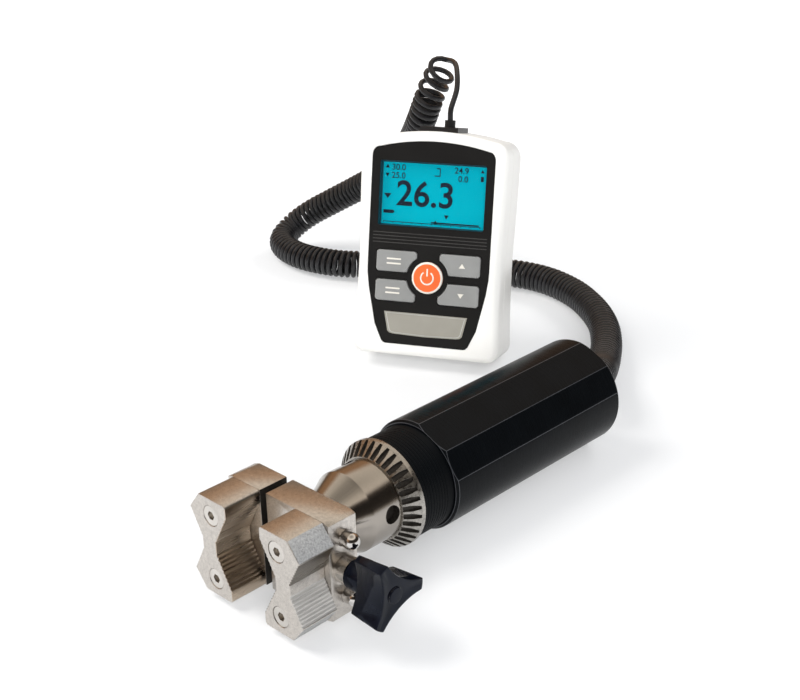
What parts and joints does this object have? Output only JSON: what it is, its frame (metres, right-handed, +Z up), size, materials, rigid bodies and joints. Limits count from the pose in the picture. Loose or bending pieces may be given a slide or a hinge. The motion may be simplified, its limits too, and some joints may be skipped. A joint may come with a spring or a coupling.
{
  "type": "cap torque meter",
  "caption": "Cap torque meter: a cylindrical torque sensor handle with a keyed chuck and a screw-driven two-jaw cap gripper, joined by a curly cord to a hand-held display unit.",
  "frame": {"origin": "on the table, at the middle of the underside of the box round the handle and the display unit, the free cord left out", "axes": "+Z up from the table; the torque axis runs along Y with the gripper towards -Y; +X towards the gripper's knob"},
  "size_m": [0.3243, 0.3071, 0.1387],
  "materials": {
    "black_anodised": "black anodised, satin with a soft gloss",
    "dark_screw": "black oxide screws",
    "black_rubber": "matt black rubber",
    "sensor_steel": "machined stainless steel",
    "gauge_film": "foil gauges on an amber film",
    "circuit_board": "green circuit board",
    "black_collar": "black anodised with fine turned rings",
    "bearing_steel": "polished bearing steel",
    "chuck_steel": "bright turned steel",
    "jaw_steel": "ground steel",
    "nickel_plate": "nickel plate over machined faces",
    "socket_screw": "plated socket screws",
    "polished_rod": "ground and polished",
    "black_knob": "glossy black plastic",
    "white_housing": "ivory white plastic, satin gloss",
    "charcoal_overlay": "charcoal printed film",
    "clear_window": "clear window",
    "cyan_lcd": "cyan backlit display with black segments",
    "lcd_frame": "moulded frame",
    "orange_button": "orange rubber button with a pale ring",
    "grey_key": "grey rubber keys",
    "black_plastic": "black moulded plastic",
    "cell_wrap": "blue sleeve",
    "connector_shell": "plated shell",
    "beige_label": "bare beige plate",
    "cord_jacket": "black satin cord jacket"
  },
  "bodies": {
    "meter": {"handle_tube": "black_anodised", "rear_cap": "black_anodised", "rear_cap_screws": "dark_screw", "cord_gland": "black_rubber", "torque_sensor": "sensor_steel", "strain_gauges": "gauge_film", "board_posts": "sensor_steel", "amplifier_board": "circuit_board", "front_collar": "black_collar", "bearing_outer_race": "bearing_steel", "bearing_inner_race": "bearing_steel", "bearing_balls": "bearing_steel", "chuck_body": "chuck_steel", "gripper_shank": "jaw_steel", "fixed_base": "nickel_plate", "fixed_finger": "nickel_plate", "fixed_finger_screws": "socket_screw", "screw_bush": "socket_screw", "front_housing": "white_housing", "rear_housing": "white_housing", "housing_screws": "dark_screw", "keypad_overlay": "charcoal_overlay", "lcd_window": "clear_window", "lcd_glass": "cyan_lcd", "lcd_frame": "lcd_frame", "button_switches": "black_plastic", "main_board": "circuit_board", "battery_cells": "cell_wrap", "battery_holder": "black_plastic", "charge_jack": "black_plastic", "output_connector": "connector_shell", "label_plate": "beige_label", "sensor_plate": "black_plastic", "cord_boot": "black_rubber", "cord_lead": "cord_jacket", "curly_cord": "cord_jacket"},
    "lead_screw_and_knob": {"lead_screw": "jaw_steel", "screw_clip": "dark_screw", "knob": "black_knob", "knob_set_screw": "dark_screw"},
    "moving_jaw": {"moving_base": "nickel_plate", "moving_finger": "nickel_plate", "moving_finger_screws": "socket_screw", "upper_guide_rod": "polished_rod", "lower_guide_rod": "polished_rod"},
    "chuck_sleeve": {"chuck_sleeve": "chuck_steel", "chuck_nut": "sensor_steel"},
    "chuck_jaw_1": {"chuck_jaw_1": "jaw_steel"},
    "chuck_jaw_2": {"chuck_jaw_2": "jaw_steel"},
    "chuck_jaw_3": {"chuck_jaw_3": "jaw_steel"},
    "power_button": {"power_button": "orange_button"},
    "menu_key": {"menu_key": "grey_key"},
    "data_key": {"data_key": "grey_key"},
    "zero_key": {"zero_key": "grey_key"},
    "mode_key": {"mode_key": "grey_key"}
  },
  "joints": [
    {"name": "knob_turn", "type": "hinge", "parent": "meter", "child": "lead_screw_and_knob", "pos_m": [0.079, -0.10285, 0.02223], "axis": [1, 0, 0], "range_deg": [-1085, 4325]},
    {"name": "moving_jaw_slide", "type": "slide", "parent": "meter", "child": "moving_jaw", "axis": [-1, 0, 0], "range_m": [-0.003, 0.012]},
    {"name": "chuck_sleeve_turn", "type": "hinge", "parent": "meter", "child": "chuck_sleeve", "pos_m": [0.049, -0.0615, 0.02223], "axis": [0, 1, 0], "range_deg": [0, 1152]},
    {"name": "chuck_jaw_1_slide", "type": "slide", "parent": "meter", "child": "chuck_jaw_1", "axis": [0.0879, 0.9781, 0.1884], "range_m": [-0.0001, 0.0049]},
    {"name": "chuck_jaw_2_slide", "type": "slide", "parent": "meter", "child": "chuck_jaw_2", "axis": [-0.2071, 0.9781, -0.0181], "range_m": [-0.0001, 0.0049]},
    {"name": "chuck_jaw_3_slide", "type": "slide", "parent": "meter", "child": "chuck_jaw_3", "axis": [0.1193, 0.9781, -0.1703], "range_m": [-0.0001, 0.0049]},
    {"name": "power_button_press", "type": "slide", "parent": "meter", "child": "power_button", "axis": [-0.4505, 0.8544, -0.2588], "range_m": [0, 0.0008], "stiffness_N_per_m": 900, "springref_m": -0.0002},
    {"name": "menu_key_press", "type": "slide", "parent": "meter", "child": "menu_key", "axis": [-0.4505, 0.8544, -0.2588], "range_m": [0, 0.0008], "stiffness_N_per_m": 900, "springref_m": -0.0002},
    {"name": "data_key_press", "type": "slide", "parent": "meter", "child": "data_key", "axis": [-0.4505, 0.8544, -0.2588], "range_m": [0, 0.0008], "stiffness_N_per_m": 900, "springref_m": -0.0002},
    {"name": "zero_key_press", "type": "slide", "parent": "meter", "child": "zero_key", "axis": [-0.4505, 0.8544, -0.2588], "range_m": [0, 0.0008], "stiffness_N_per_m": 900, "springref_m": -0.0002},
    {"name": "mode_key_press", "type": "slide", "parent": "meter", "child": "mode_key", "axis": [-0.4505, 0.8544, -0.2588], "range_m": [0, 0.0008], "stiffness_N_per_m": 900, "springref_m": -0.0002}
  ],
  "couplings": [
    {"joint": "knob_turn", "follows": "moving_jaw_slide", "rad_per_m": 6283.2},
    {"joint": "chuck_jaw_1_slide", "follows": "chuck_sleeve_turn", "m_per_rad": 0.00023873},
    {"joint": "chuck_jaw_2_slide", "follows": "chuck_sleeve_turn", "m_per_rad": 0.00023873},
    {"joint": "chuck_jaw_3_slide", "follows": "chuck_sleeve_turn", "m_per_rad": 0.00023873}
  ]
}
